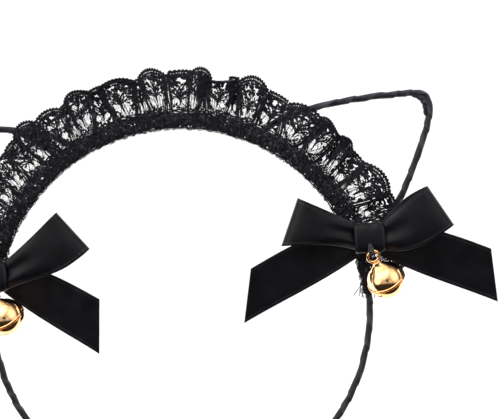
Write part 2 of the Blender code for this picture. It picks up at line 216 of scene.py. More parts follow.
def smooth_path(points, steps):
    """Points along a Catmull-Rom curve through the given ones."""
    points = [Vector(point) for point in points]
    ends = [2 * points[0] - points[1], *points, 2 * points[-1] - points[-2]]
    path = []
    for a, b, c, d in zip(ends, ends[1:], ends[2:], ends[3:]):
        for i in range(steps):
            t = i / steps
            path.append(0.5 * (2 * b + (c - a) * t + (2 * a - 5 * b + 4 * c - d) * t * t
                               + (3 * b - a - 3 * c + d) * t ** 3))
    return [*path, points[-1]]


def lengths_along(path):
    """The length from the path's start to each of its points."""
    return np.concatenate([[0], np.cumsum(np.linalg.norm(np.diff(path, axis=0), axis=1))])


def even_path(points, spacing):
    """The same polyline with points an even distance apart."""
    points = np.asarray([tuple(point) for point in points], float)
    along = lengths_along(points)
    marks = np.linspace(0, along[-1], int(along[-1] / spacing) + 1)
    return np.stack([np.interp(marks, along, points[:, axis]) for axis in range(3)], axis=1)


def vary(low, high):
    """A random length between two, given in millimetres."""
    return uniform(low, high) * MM


def ease(t):
    """Rises smoothly from 0 to 1 as t does, and stays there outside that."""
    t = min(1.0, max(0.0, t))
    return t * t * (3 - 2 * t)


def on_hoop(angle, radius, depth=0.0):
    """A place given by its angle from the crown, its distance from the hoop's centre and its depth."""
    return Vector((radius * sin(angle), depth, radius * cos(angle) + CENTRE_Z))


def hoop_points(angle, radius, depth):
    """The same for arrays."""
    return np.stack([radius * np.sin(angle), depth, radius * np.cos(angle) + CENTRE_Z], axis=-1)


# ---- materials ----

class Nodes:
    """Short calls that add nodes to a shader tree. A value is a number, a colour or a node's output."""

    def __init__(self, owner):
        owner.use_nodes = True
        self.nodes, self.links = owner.node_tree.nodes, owner.node_tree.links

    def fill(self, socket, value):
        if isinstance(value, bpy.types.NodeSocket):
            self.links.new(value, socket)
        else:
            socket.default_value = value

    def add(self, kind, output, inputs=None, **settings):
        """Adds a node, fills its inputs by name or number, and returns one of its outputs."""
        made = self.nodes.new("ShaderNode" + kind)
        for key, value in settings.items():
            setattr(made, key, value)
        for key, value in (inputs or {}).items():
            self.fill(made.inputs[key], value)
        return made.outputs[output]

    def noise(self, vector, scale, detail=2.0, rough=0.5):
        finish = {"Scale": scale, "Detail": detail, "Roughness": rough}
        return self.add("TexNoise", "Fac", {"Vector": vector, **finish})

    def wave(self, vector, scale, direction="X", distortion=0.0):
        return self.add("TexWave", "Fac", {"Vector": vector, "Scale": scale, "Distortion": distortion},
                        bands_direction=direction)

    def ramp(self, factor, *stops):
        made = self.nodes.new("ShaderNodeValToRGB")
        while len(made.color_ramp.elements) < len(stops):
            made.color_ramp.elements.new(0.5)
        for element, (position, colour) in zip(made.color_ramp.elements, stops):
            element.position = position
            element.color = (*colour, 1)
        self.links.new(factor, made.inputs["Fac"])
        return made.outputs["Color"]

    def to_range(self, value, low, high, start=0.0, end=1.0, shape="LINEAR"):
        stops = {"From Min": start, "From Max": end, "To Min": low, "To Max": high}
        return self.add("MapRange", "Result", {"Value": value, **stops}, interpolation_type=shape)

    def math(self, operation, first, second=0.5):
        return self.add("Math", "Value", {0: first, 1: second}, operation=operation)

    def axis(self, vector, name):
        return self.add("SeparateXYZ", name, {"Vector": vector})


class Shader(Nodes):
    """A Principled material, and where a point is on it."""

    def __init__(self, name, colour, roughness, metallic=0.0, specular=0.5):
        self.material = bpy.data.materials.new(name)
        super().__init__(self.material)
        self.feed((*colour, 1), "Base Color")
        self.feed(roughness, "Roughness")
        self.feed(metallic, "Metallic")
        self.feed(specular, "Specular IOR Level")

    def feed(self, value, name):
        self.fill(self.nodes["Principled BSDF"].inputs[name], value)

    def flat(self):
        return self.add("Attribute", "Vector", attribute_name="flat")

    def place(self):
        return self.add("TexCoord", "Object")

    def bump(self, height, distance, strength):
        bumped = self.add("Bump", "Normal", {"Height": height, "Distance": distance, "Strength": strength})
        self.feed(bumped, "Normal")

    def sheen(self, weight, roughness, tint):
        self.feed(weight, "Sheen Weight")
        self.feed(roughness, "Sheen Roughness")
        self.feed((*tint, 1), "Sheen Tint")


def satin_material():
    """Woven polyester satin: near black, fine warp lines, a soft blue-grey sheen."""
    made = Shader("satin_ribbon", (0.005, 0.0045, 0.0065), 0.35, specular=0.14)
    flat = made.flat()
    warp = made.wave(flat, 1500, "Y", 0.6)
    weft = made.wave(flat, 1100, "X", 0.4)
    weave = made.math("ADD", made.math("MULTIPLY", warp, 0.75), made.math("MULTIPLY", weft, 0.25))
    clouds = made.noise(made.place(), 160, 3)
    across = made.math("ABSOLUTE", made.axis(flat, "Y"), 0.0)
    from_line = made.math("ABSOLUTE", made.math("SUBTRACT", across, RIBBON / 2 - STITCH_INSET), 0.0)
    line = made.math("MAXIMUM", made.math("SUBTRACT", 1.0, made.math("MULTIPLY", from_line, 4500)), 0.0)
    stitches = made.math("MULTIPLY", line, made.wave(flat, 400, "X"))
    tone = made.math("ADD", made.math("MULTIPLY", clouds, 0.6), made.math("MULTIPLY", stitches, 0.6))
    made.feed(made.ramp(tone, (0.18, (0.0007, 0.0006, 0.0011)), (0.42, (0.0026, 0.0023, 0.0036)),
                        (0.95, (0.034, 0.033, 0.042))), "Base Color")
    made.feed(made.to_range(made.noise(made.place(), 420, 2), 0.27, 0.40), "Roughness")
    made.bump(weave, 0.00004, 0.35)
    made.sheen(0.02, 0.3, (0.62, 0.64, 0.80))
    return made.material


def binding_material():
    """The narrow satin ribbon wound on the wires: random rubbed patches, lighter and rougher, and a painted
    highlight along the raised edge of each turn.
    """
    made = Shader("wound_ribbon", (0.008, 0.0075, 0.010), 0.42, specular=0.2)
    flat = made.flat()
    lines = made.wave(flat, 900, "Y", 1.5)
    rubbed = made.noise(flat, 700, 3)
    # Painted highlight: where the ribbon stands raised at the edge of each turn the colour is made lighter,
    # added to the random rubbed tone.
    lap_edge_highlight = made.math("MULTIPLY", made.math("SUBTRACT", made.axis(flat, "Z"), WRAP_RADIUS), 3000)
    wear_and_lap_highlight = made.math("ADD", made.math("MULTIPLY", rubbed, 0.6), made.math("MAXIMUM", lap_edge_highlight, 0.0))
    made.feed(made.ramp(wear_and_lap_highlight, (0.2, (0.0025, 0.0023, 0.0036)), (0.9, (0.026, 0.027, 0.036))), "Base Color")
    made.feed(made.to_range(rubbed, 0.34, 0.6), "Roughness")
    made.bump(lines, 0.00005, 0.4)
    made.sheen(0.04, 0.4, (0.6, 0.66, 0.85))
    return made.material


def lace_material(name, light):
    """Dyed lace thread: black, with painted blue-grey highlight speckles and a cool grey sheen, fuzzy at
    thread scale.
    """
    made = Shader(name, (0.006, 0.006, 0.008), 0.7, specular=0.08)
    place = made.place()
    mottle = made.noise(place, 900, 4, 0.65)
    # The ramp's top stop is a painted highlight: blue-grey speckles where the threads would catch light. The
    # lower stops are random tone.
    made.feed(made.ramp(mottle, (0.35, (0.0010, 0.0010, 0.0018)), (0.58, (light, light, light * 1.3)),
                        (0.72, (7 * light, 7.4 * light, 10 * light))), "Base Color")
    twist = made.wave(place, 2600, "DIAGONAL", 3.0)
    made.bump(made.math("ADD", twist, mottle), 0.00006, 0.6)
    made.sheen(0.04, 0.5, (0.55, 0.58, 0.75))
    return made.material


def gold_material():
    """Bright gold plate with a faint orange cast and hairline wear."""
    made = Shader("gold_plate", (0.96, 0.62, 0.25), 0.1, 1.0)
    place = made.place()
    drift = made.noise(place, 130, 2)
    made.feed(made.ramp(drift, (0.3, (0.96, 0.52, 0.20)), (0.75, (1.0, 0.67, 0.38))), "Base Color")
    made.feed(made.to_range(made.noise(place, 1500, 4, 0.7), 0.05, 0.17), "Roughness")
    made.bump(made.noise(place, 260, 2), 0.00006, 0.25)
    return made.material


def plain_detail_material(name, dark, light, low, high, metallic=0.0):
    """A mottled finish between two colours and two roughness values, with a fine grain."""
    made = Shader(name, dark, low, metallic)
    mottle = made.noise(made.place(), 800, 4, 0.6)
    made.feed(made.ramp(mottle, (0.3, dark), (0.75, light)), "Base Color")
    made.feed(made.to_range(mottle, low, high), "Roughness")
    made.bump(mottle, 0.00003, 0.5)
    return made.material


# ---- lace ----

class Strip:
    """Threads and solid shapes drawn on the flat strip: x runs along it, y out from the heading.

    Places are in metres, and widths, lengths and heights in millimetres."""

    def __init__(self):
        self.points = []
        self.faces = []

    def strand(self, line, width, height, width_end=None):
        """A flat-sided thread along a line, tapering to width_end."""
        width_end = width if width_end is None else width_end
        line = np.asarray(line, float)
        along = np.gradient(line, axis=0)
        along /= np.linalg.norm(along, axis=1)[:, None] + 1e-12
        widths = np.linspace(width * MM, width_end * MM, len(line))
        offset = np.stack([-along[:, 1], along[:, 0]], axis=1) * widths[:, None] / 2
        start = len(self.points)
        for centre, aside in zip(line, offset):
            for sign, lift in ((1, 0.5), (-1, 0.5), (-1, -0.5), (1, -0.5)):
                self.points.append((*(centre + sign * aside), lift * (height * MM)))
        self.faces += grid_faces(len(line), 4, start, around=True)
        end = start + 4 * (len(line) - 1)
        self.faces.append((start + 3, start + 2, start + 1, start))
        self.faces.append((end, end + 1, end + 2, end + 3))

    def blob(self, centre, length, breadth, turn, height, corners):
        """A small leaf-shaped patch of close stitches."""
        start = len(self.points)
        for lift in (0.5, -0.5):
            for i in range(corners):
                angle = 2 * pi * i / corners
                along, aside = length * MM / 2 * cos(angle), breadth * MM / 2 * sin(angle)
                self.points.append((centre[0] + along * cos(turn) - aside * sin(turn),
                                    centre[1] + along * sin(turn) + aside * cos(turn), lift * (height * MM)))
        self.faces.append(tuple(range(start, start + corners)))
        self.faces.append(tuple(reversed(range(start + corners, start + 2 * corners))))
        for i in range(corners):
            k = (i + 1) % corners
            self.faces.append((start + k, start + i, start + corners + i, start + corners + k))


def bend(start, middle, end, steps):
    """Points along a quadratic curve that is pulled towards the middle one."""
    t = np.linspace(0, 1, steps + 1)[:, None]
    start, middle, end = (np.asarray(point, float) for point in (start, middle, end))
    return (1 - t) ** 2 * start + 2 * t * (1 - t) * middle + t * t * end


def scallop_edge(x):
    """How far the lace reaches at x: one round scallop to each motif."""
    return EDGE_BASE + SCALLOP * np.abs(np.sin(pi * x / MOTIF)) ** 0.8


def fold_steps():
    """Phases round one fold, and the share of its cloth that each has used up."""
    phase = np.linspace(0, 2 * pi, 721)
    pitch = 2 * LACE_ANGLE * RUFFLE_EDGE / FOLDS
    along = pitch * phase / (2 * pi) + FOLD_SWELL * np.sin(phase) + FOLD_OVERHANG * np.sin(2 * phase)
    used = np.concatenate([[0], np.cumsum(np.hypot(np.diff(along), FOLD_DEPTH * np.diff(np.cos(phase))))])
    return phase, used / used[-1]


def gather(x, y, lift):
    """Places points of the flat strip on the gathered ruffle: a wide fold forward and a narrow one back."""
    phases, used = fold_steps()

    def surface(x, y):
        place = x / (2 * MOTIF) - 0.25
        fold = np.floor(place)
        turn = 2 * pi * fold + np.interp(place - fold, used, phases)
        count = turn / (2 * pi)

        def drift(rate, phase=0.0):
            return np.sin(2 * pi * rate * count + phase)

        uneven = 0.22 * drift(0.23, 1) + 0.11 * drift(0.61, 2)
        share = (count + 0.25 + uneven) / FOLDS
        out = np.clip(y / STRIP_WIDTH, 0, 1.1)
        from_end = np.clip(np.minimum(share, 1 - share), 0, 1)
        calm = 0.4 + 0.6 * np.clip(from_end / 0.14, 0, 1)
        grow = 0.22 + 0.78 * out ** 0.7
        strength = grow * calm * (1 + 0.28 * drift(0.37, 2))
        slide = (FOLD_SWELL * np.sin(turn) + FOLD_OVERHANG * np.sin(2 * turn)) * strength
        lean = out * MM * (2.4 * drift(0.31, 0.5) + 1.4 * drift(0.83, 1))
        stretch = 1 + 0.06 * drift(0.43, 1.1) + 0.05 * np.cos(turn)
        turned_in = 0.35 + 0.65 * np.clip(from_end / 0.035, 0, 1)
        rolled = ROLL * np.clip(drift(0.29, 0.4) * 1.4 - 0.4, 0, 1)
        rolled = rolled * np.clip((from_end - 0.14) / 0.06, 0, 1) * (0.55 + 0.45 * np.sin(turn + 1))
        crease = ROLL_START + MM * (0.9 * drift(1.27) + 0.4 * drift(2.9))
        beyond = np.clip(y - crease, 0, None)
        bent = np.minimum(beyond / ROLL_RADIUS, rolled)
        straight = beyond - bent * ROLL_RADIUS
        reach = np.minimum(y, crease) + ROLL_RADIUS * np.sin(bent) + straight * np.cos(rolled)
        forward = ROLL_RADIUS * (1 - np.cos(bent)) + straight * np.sin(rolled)
        radius = RUFFLE_START + reach * stretch * turned_in
        angle = LACE_ANGLE * (2 * share - 1) + (slide + lean) / radius
        curl = 0.6 * MM * out ** 2 * drift(0.47)
        depth = RUFFLE_MEAN - FOLD_DEPTH * strength * np.cos(turn) + curl - forward
        return hoop_points(angle, radius, depth)

    step = 0.05 * MM
    centre = surface(x, y)
    normal = np.cross(surface(x + step, y) - centre, surface(x, y + step) - centre)
    normal /= np.linalg.norm(normal, axis=1)[:, None] + 1e-15
    return centre + normal * lift[:, None]


def leaf(strip, spot, length, breadth, height, corners):
    """A blob that lies any way round. Length and breadth are ranges to draw from."""
    strip.blob(spot, uniform(*length), uniform(*breadth), uniform(0, pi), height, corners)


def draw_tree(strip, x):
    """One motif: a trunk that forks into a fan of boughs under a close canopy of leaves."""
    def at(dx, y):
        return np.array((x + dx * MM, y * MM))

    lean = uniform(-0.8, 0.8)
    fork = at(lean, uniform(4.6, 6.2))
    root = at(0.5 * lean, uniform(2.2, 3.6))
    strip.strand(bend(root, at(0.9 * lean, 3.6), fork, 5), 0.3, 0.28, 0.95)
    for lift in (-72, -50, -30, -11, 9, 28, 50, 73):
        turn = radians(90 + lift + uniform(-7, 7))
        reach = (6.6 - 2.0 * abs(sin(radians(lift)))) * vary(0.88, 1.1)
        end = fork + reach * np.array((cos(turn), sin(turn)))
        sag = reach * 0.2 * np.array((sin(turn), -cos(turn))) * (1 if lift > 0 else -1)
        bough = bend(fork, (fork + end) / 2 + sag, end, 6)
        strip.strand(bough, 0.9 if abs(lift) in (28, 30) else 0.6, 0.24, 0.28)
        for k in (2, 3, 4, 5):
            side = CHANCE.choice((-1, 1))
            aim = turn + side * uniform(0.5, 0.95)
            tip = bough[k] + vary(0.8, 1.6) * np.array((cos(aim), sin(aim)))
            strip.strand([bough[k], tip], 0.28, 0.18)
            strip.blob(tip, 1.2, 0.75, aim, 0.22, 6)
        strip.blob(end, 1.7, 1.05, turn, 0.24, 8)
    for _ in range(50):
        spot = at(uniform(-5.3, 5.3), 0)
        spot[1] = scallop_edge(spot[0]) - vary(1.3, 5.0)
        leaf(strip, spot, (1.1, 2.0), (0.7, 1.15), 0.26, 7)
    for _ in range(5):
        foot = at(uniform(-3.8, 3.8), uniform(0.8, 2.5))
        head = at(uniform(-4.2, 4.2), uniform(6.5, 10.5))
        swerve = (foot + head) / 2 + uniform(-1.6, 1.6, 2) * MM
        strip.strand(bend(foot, swerve, head, 6), 0.3, 0.2, 0.2)
    breadth = uniform(3.5, 4.7)
    for _ in range(30):
        turn = uniform(pi, 2 * pi)
        spot = at(breadth * cos(turn), 6.4 + 4.7 * sin(turn)) + uniform(-0.6, 0.6, 2) * MM
        leaf(strip, spot, (0.9, 1.6), (0.5, 0.9), 0.22, 6)
    for _ in range(8):
        side = CHANCE.choice((-1, 1))
        spot = at(side * uniform(2.6, 4.4), uniform(6.5, 9.6))
        leaf(strip, spot, (0.9, 1.5), (0.5, 0.9), 0.22, 6)


def draw_column(strip, x):
    """The close-stitched column between two motifs: wavy threads side by side, and knots along them."""
    for k in range(9):
        wobble = uniform(-0.3, 0.3, 4) * MM
        aside = (k - 4) * 0.45 * MM
        places = zip((1.3, 1, 0.9, 1, 1.2), (0, *wobble), (-1, 3, 6, 9, 12))
        line = smooth_path([(x + share * aside + swerve, y * MM, 0) for share, swerve, y in places], 3)
        strip.strand([point[:2] for point in line], 0.44, 0.2)
    for k in range(16):
        side = 1 if k % 2 else -1
        centre = (x + side * vary(0.8, 2.2), (0.6 + 0.74 * k) * MM)
        leaf(strip, centre, (0.9, 1.5), (0.6, 0.9), 0.24, 6)


def draw_border(strip):
    """The scalloped rim: a solid band with picots, an inner line and ladder bars; and the footing."""
    fine = np.arange(0, STRIP_LENGTH + 0.1 * MM, MOTIF / 14)
    edge = scallop_edge(fine)
    lines = [(edge - 0.36 * MM, 0.75, 0.34), (edge - 1.45 * MM, 0.7, 0.28),
             (edge - 2.45 * MM + 0.25 * MM * np.sin(fine * 4100), 0.42, 0.24)]
    for k in range(5):
        wobble = 0.16 * MM * np.sin(fine * (700 + 190 * k) + k)
        lines.append(((0.62 * k - 0.9) * MM + wobble, 0.52, 0.22))
    for y, width, height in lines:
        strip.strand(np.stack([fine, y], 1), width, height)
    for x in np.arange(0.4 * MM, STRIP_LENGTH, 0.48 * MM):
        reach = float(scallop_edge(x))
        slant = vary(-0.2, 0.2)
        strip.strand([(x - slant, reach - 2.6 * MM), (x + slant, reach - 0.35 * MM)], 0.32, 0.2)
    for x in np.arange(0.2 * MM, STRIP_LENGTH, 0.86 * MM):
        strip.blob((x, float(scallop_edge(x)) + 0.1 * MM), 0.72, 0.6, 0, 0.3, 6)


def draw_net(strip):
    """The fine zigzag ground that fills the cells between the motifs."""
    for side in (-1, 1):
        for x in np.arange(0, STRIP_LENGTH, 0.85 * MM):
            rows = np.arange(0.4, 12.0, 1.1) * MM
            zigzag = 0.3 * MM * np.where(np.arange(len(rows)) % 2, 1, -1)
            line = np.stack([x + side * rows * 0.5 + side * zigzag, rows], 1)
            inside = (line[:, 0] > 0) & (line[:, 0] < STRIP_LENGTH)
            if inside.sum() > 2:
                strip.strand(line[inside], 0.11, 0.1)


def lace_object(name, strip, material, lift=0.0):
    """A flat strip's threads, gathered onto the hoop and raised by lift."""
    flat = np.array(strip.points)
    points = gather(flat[:, 0], flat[:, 1], flat[:, 2] + lift)
    lace = make_object(name, points, strip.faces, material, smooth=False)
    hand_over(lace, "band", "black_lace")
    return lace


def make_ruffle(material):
    """The ruffle's ground, which is the cloth, and the motifs stitched on its front."""
    ground, motifs = Strip(), Strip()
    draw_net(ground)
    for k in range(2 * FOLDS + 1):
        draw_column(ground, min(max(k * MOTIF, 2.4 * MM), STRIP_LENGTH - 2.4 * MM))
    draw_border(ground)
    for k in range(2 * FOLDS):
        draw_tree(motifs, (k + 0.5) * MOTIF)
    cloth = lace_object("lace_ruffle_ground", ground, material)
    stitched = lace_object("lace_ruffle_motifs", motifs, material, 0.12 * MM)
    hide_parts("lace_ruffle")


def lumps(x, y):
    """Smooth random heights from -1 to 1 over a plane, one lump to each unit, for arrays x and y."""
    grid = uniform(-1, 1, (int(x.max()) + 3, int(y.max()) + 3))
    i, j = x.astype(int), y.astype(int)
    f, g = x - i, y - j
    f, g = f * f * (3 - 2 * f), g * g * (3 - 2 * g)
    return ((grid[i, j] * (1 - f) + grid[i + 1, j] * f) * (1 - g)
            + (grid[i, j + 1] * (1 - f) + grid[i + 1, j + 1] * f) * g)


def make_heading(material):
    """The gathered heading: lace turned under at the inner edge, crushed into small uneven lumps."""
    columns, rows = 1500, 19
    along = np.linspace(0, 1, columns)[:, None] * np.ones(rows)
    side = np.ones(columns)[:, None] * np.linspace(-1, 1, rows)
    t = np.abs(side)
    arc = 2 * LACE_ANGLE * HOOP_RADIUS

    def crush(height, size, rows_across=0):
        return height * MM * lumps(along * arc / (size * MM), rows_across * t)

    inner = HEADING_INNER + HEM + crush(0.35, 1.6) * (1 - t) ** 2
    outer = HEADING_OUTER + crush(0.45, 1.1)
    radius = inner + (outer - inner) * t
    ribs = 0.14 * MM * np.sin(along * arc / (0.19 * MM) + 5 * t)
    crushed = crush(0.30, 0.9, 3.2) + crush(0.13, 0.42, 7) + ribs
    layer = 0.3 * MM * np.sign(side) * np.minimum(1, 3 * t)
    depth = -1.78 * MM + layer - 0.28 * MM * np.sin(pi * t) - 0.45 * MM * t * t + crushed
    ends = 1.025 + 0.018 * lumps(3 + 4 * t, 0 * t)
    angle = LACE_ANGLE * ends * (2 * along - 1) + 0.006 * lumps(along * arc / (2.4 * MM), 4 * t)
    points = hoop_points(angle, radius, depth)
    holes = CHANCE.random((columns // 3 + 1, rows)) < HOLE_SHARE
    kept = [face for face in grid_faces(columns, rows)
            if not holes[face[0] // rows // 3, min(face[0] % rows, rows - 2 - face[0] % rows)]]
    heading = make_object("lace_heading_gathers", points.reshape(-1, 3), kept, material)
    solidify(heading, 0.2 * MM)
    hand_over(heading, "band", "black_lace", "lace_heading")


class Threads:
    """Thin round threads, collected into one mesh."""

    def __init__(self):
        self.points = []
        self.faces = []

    def add(self, path, radius, sides=5):
        path = np.asarray([tuple(point) for point in path], float)
        start = len(self.points)
        for centre, a, b in zip(path, *transported_frames(path)):
            for k in range(sides):
                turn = 2 * pi * k / sides
                self.points.append(tuple(centre + radius * (cos(turn) * a + sin(turn) * b)))
        self.faces += [tuple(reversed(face)) for face in grid_faces(len(path), sides, start, around=True)]
        end = start + (len(path) - 1) * sides
        self.faces.append(tuple(range(start, start + sides)))
        self.faces.append(tuple(reversed(range(end, end + sides))))

    def make(self, name, material):
        return make_object(name, self.points, self.faces, material)


def make_heading_edge(material):
    """The heading's netted inner edge, and its frayed ends where the lace was cut."""
    threads = Threads()
    add_netting(threads)
    add_hem_lines(threads)
    add_small_loops(threads)
    add_stray_threads(threads)
    hand_over(threads.make("lace_heading_edge_threads", material), "band", "black_lace")


def add_netting(threads):
    """Four zigzag threads along the hem."""
    pitch = 0.62 * MM / HOOP_RADIUS
    width = 1.1 * MM
    for shift in (0, 1, 0, 1):
        path = []
        for k in range(int(2 * LACE_ANGLE / pitch)):
            reach = width * ((k + shift) % 2) + vary(-0.3, 0.3)
            path.append(on_hoop(LACE_ANGLE - k * pitch, HEADING_INNER + HEM + 0.3 * MM - reach,
                                HEM_DEPTH + vary(-0.3, 0.3)))
        threads.add(path, 0.13 * MM, 4)


def add_hem_lines(threads):
    """Two uneven cords inside the hem, closest to it at the crown."""
    half = 300
    marks = np.arange(2 * half + 1.0)
    for pace, radius in ((9, 0.24 * MM), (5, 0.2 * MM)):
        from_crown = np.abs(marks / half - 1)
        gap = (0.25 + 0.6 * lumps(marks / pace, 0 * marks)) * (0.25 + 0.75 * from_crown) * MM
        threads.add([on_hoop(LACE_ANGLE * (1 - k / half), HEADING_INNER + HEM - gap[int(k)], HEM_DEPTH)
                     for k in marks], radius, 6)


def add_small_loops(threads):
    """Half-round loops of thread that hang from the hem."""
    for _ in range(240):
        angle = LACE_ANGLE * uniform(-1, 1)
        width = vary(0.6, 1.5)
        drop = vary(0.5, 1.2)
        depth = vary(-1.9, -1.0)
        threads.add([on_hoop(angle + width / 2 * cos(turn) / HOOP_RADIUS,
                             HEADING_INNER + 0.35 * MM - drop * sin(turn), depth)
                     for turn in [pi * k / 8 for k in range(9)]], 0.11 * MM)


def add_stray_threads(threads):
    """Curly loose threads at the lace's two cut ends."""
    for side in (-1, 1):
        for _ in range(9):
            start = np.array(on_hoop(side * (LACE_ANGLE * 0.995), vary(64.8, 70.2), -2.0 * MM))
            aim = np.array((side * uniform(-0.9, 0.3), uniform(-0.5, 0.2), -1))
            swerve = uniform(-1, 1, 3) * 1.6 * MM
            reach = vary(2.5, 6.5)
            curl = uniform(-1, 1, 3) * 0.7 * MM
            threads.add([start + aim * reach * f + swerve * sin(2.6 * f) + curl * sin(7 * f)
                         for f in np.linspace(0, 1, 15)], 0.13 * MM)


def make_gathering_thread(material):
    """A running stitch that dips in and out of the heading."""
    stitches = 72
    path = []
    for i in range(stitches * 4 + 1):
        angle = LACE_ANGLE * 0.99 * (2 * i / (stitches * 4) - 1)
        depth = -2.45 * MM - 0.5 * MM * sin(pi * i / 2)
        path.append(on_hoop(angle, HOOP_RADIUS + 1.6 * MM + 0.2 * MM * cos(pi * i / 2), depth))
    thread = tube_object("gathering_running_stitch", path, 0.17 * MM, 6, material)
    hand_over(thread, "band", "black_thread", "gathering_thread")


# ---- bound wires ----

ARM_ANGLE = radians(129)
TIP = (42.0 * MM, -60.0 * MM)
EAR_DEPTH = 3.1 * MM
EAR_FEET = (radians(21.5), radians(82.5))
EAR_STUB = radians(1.7)
EAR_BENDS = [(32.6, 61.3), (42.2, 66.0), (54.4, 68.8), (69.8, 70.6), (86.9, 71.1), (92.0, 70.3),
             (94.0, 66.4), (92.9, 60.0), (89.3, 51.0), (84.8, 41.1), (79.9, 32.4), (73.6, 23.4),
             (68.0, 15.6)]


def arm_tip(side):
    """The last stretch of one arm, from the arc's end to the tip."""
    start = on_hoop(side * ARM_ANGLE, HOOP_RADIUS)
    along = Vector((cos(ARM_ANGLE) * side, 0, -sin(ARM_ANGLE)))
    end = Vector((side * TIP[0], 0, TIP[1] + CENTRE_Z))
    leaving = Vector((-0.33 * side, 0, -0.944))
    handle = 7.0 * MM
    corners = (start, start + along * handle, end - leaving * handle, end)
    path = []
    for i in range(1, 13):
        t = i / 12
        weights = ((1 - t) ** 3, 3 * t * (1 - t) ** 2, 3 * t * t * (1 - t), t ** 3)
        path.append(sum((weight * corner for weight, corner in zip(weights, corners)), Vector()))
    return path


def hoop_path():
    """The hoop's centre line: an arc with a straighter arm at each end."""
    arc = [on_hoop(ARM_ANGLE * (i / 90 - 1), HOOP_RADIUS) for i in range(181)]
    return [*reversed(arm_tip(-1)), *arc, *arm_tip(1)]


def ear_path(side):
    """An ear's centre line, from its inner foot round the tip to its outer foot."""
    feet = [[on_hoop(angle + EAR_STUB * k, HOOP_RADIUS, EAR_DEPTH) for k in (-1, 0, 1)] for angle in EAR_FEET]
    bends = [Vector((x * MM, EAR_DEPTH, z * MM + CENTRE_Z)) for x, z in EAR_BENDS]
    path = smooth_path([*feet[0], *bends, *feet[1]], 12)
    return [Vector((side * point.x, point.y, point.z)) for point in path]


LAP_STEP = 0.34 * MM


def wound(pitch):
    """The radius of a wire wound with ribbon: each turn overlaps the last with a small step."""
    shift = uniform(0, 2 * pi, 3)

    def radius(along, turn):
        drift = 0.35 * sin(along / (9 * MM) + shift[0]) + 0.2 * sin(along / (3.1 * MM) + shift[1])
        lap = (turn / (2 * pi) + along / pitch + drift) % 1.0
        step = LAP_STEP * lap if lap < 0.9 else LAP_STEP * (1 - lap) / 0.1 * 0.9
        ripple = 0.05 * MM * sin(3 * turn + along / (1.7 * MM) + shift[2])
        return WRAP_RADIUS - LAP_STEP / 2 + step + ripple

    return radius


def make_bindings(material):
    """The ribbon wound on the hoop and on the ears, and what holds each ear's feet."""
    hoop = tube_object("hoop_binding", even_path(hoop_path(), 0.42 * MM), wound(7.5 * MM), 22, material)
    hand_over(hoop, "band", "black_satin", "hoop_wrap")
    for side, word in ((1, "right"), (-1, "left")):
        ear = tube_object(f"ear_{word}_binding", even_path(ear_path(side), 0.4 * MM),
                          wound(7.0 * MM), 22, material)
        hand_over(ear, f"ear_{word}", "black_satin", f"ear_{word}_wrap")
        make_tip_bunch(side, word, material)
        for angle, where in zip(EAR_FEET, ("inner", "outer")):
            make_lashing(f"ear_{word}_{where}", side * angle, material)


def make_tip_bunch(side, word, material):
    """Ribbon bunched on the inside of the sharp bend at an ear's tip."""
    bend_path = [Vector((side * x * MM, EAR_DEPTH, z * MM + CENTRE_Z))
                 for x, z in ((87.6, 70.5), (91.0, 69.3), (92.6, 66.6), (92.2, 62.6))]
    path = even_path(smooth_path(bend_path, 8), 0.3 * MM)
    length = len(path)

    def radius(along, turn):
        t = along / ((length - 1) * 0.3 * MM)
        return (0.25 + 1.0 * sin(pi * min(1, t)) ** 0.7) * MM + 0.09 * MM * sin(along / (0.35 * MM) + turn)

    bunch = tube_object(f"ear_{word}_tip_bunch", path, radius, 16, material)
    hand_over(bunch, f"ear_{word}", "black_satin")


def hoop_frame(angle, radius):
    """Local X outwards, Y backwards and Z along the hoop, at a place on it."""
    outward = Vector((sin(angle), 0, cos(angle)))
    backward = Vector((0, 1, 0))
    turned = Matrix((outward, backward, outward.cross(backward))).transposed()
    return Matrix.Translation(on_hoop(angle, radius)) @ turned.to_4x4()


def make_lashing(name, angle, material):
    """Turns of narrow ribbon that bind an ear's foot behind the hoop."""
    stations, sides = 30, 40
    length, size = 3.6 * MM, 1.92 * MM
    place = hoop_frame(angle, HOOP_RADIUS)
    points, flat = [], []
    for i in range(stations):
        z = (i / (stations - 1) - 0.5) * length
        for j in range(sides):
            turn = 2 * pi * (j + 0.5) / sides
            middle = EAR_DEPTH + 0.15 * MM if sin(turn) > 0 else 0.25 * MM
            ridge = 0.14 * MM * abs(sin(pi * (z / (1.15 * MM) + turn / (2 * pi))))
            reach = size + ridge
            points.append(place @ Vector((reach * cos(turn), middle + reach * sin(turn), z)))
            flat.append((z, turn * size, 0))
    faces = grid_faces(stations, sides, around=True)
    lashing = make_object(f"{name}_lashing_turns", points, faces, material, flat, outwards=True)
    solidify(lashing, 0.22 * MM, -1)
    hand_over(lashing, "band", "black_satin", f"{name}_lashing")


def make_caps(material):
    """A smooth moulded cap with a small rim on each tip."""
    for side, word in ((1, "right"), (-1, "left")):
        path = arm_tip(side)
        axis = (path[-2] - path[-1]).normalized()
        turn = axis.to_track_quat("Z", "Y").to_matrix().to_4x4()
        profile = [(1.35, 5.0), (1.85, 5.0), (2.02, 4.8), (2.02, 4.3), (1.88, 4.1), (1.9, 1.0), (1.98, -0.6)]
        profile += [(1.98 * cos(radians(a)), -0.8 - 1.9 * sin(radians(a))) for a in range(10, 90, 10)]
        cap = turned_object(f"tip_cap_{word}_moulded", profile, 40, material, floor=0.0, axis_end=-2.7)
        cap.data.transform(Matrix.Translation(path[-1]) @ turn)
        hand_over(cap, "band", "black_rubber", f"tip_cap_{word}")


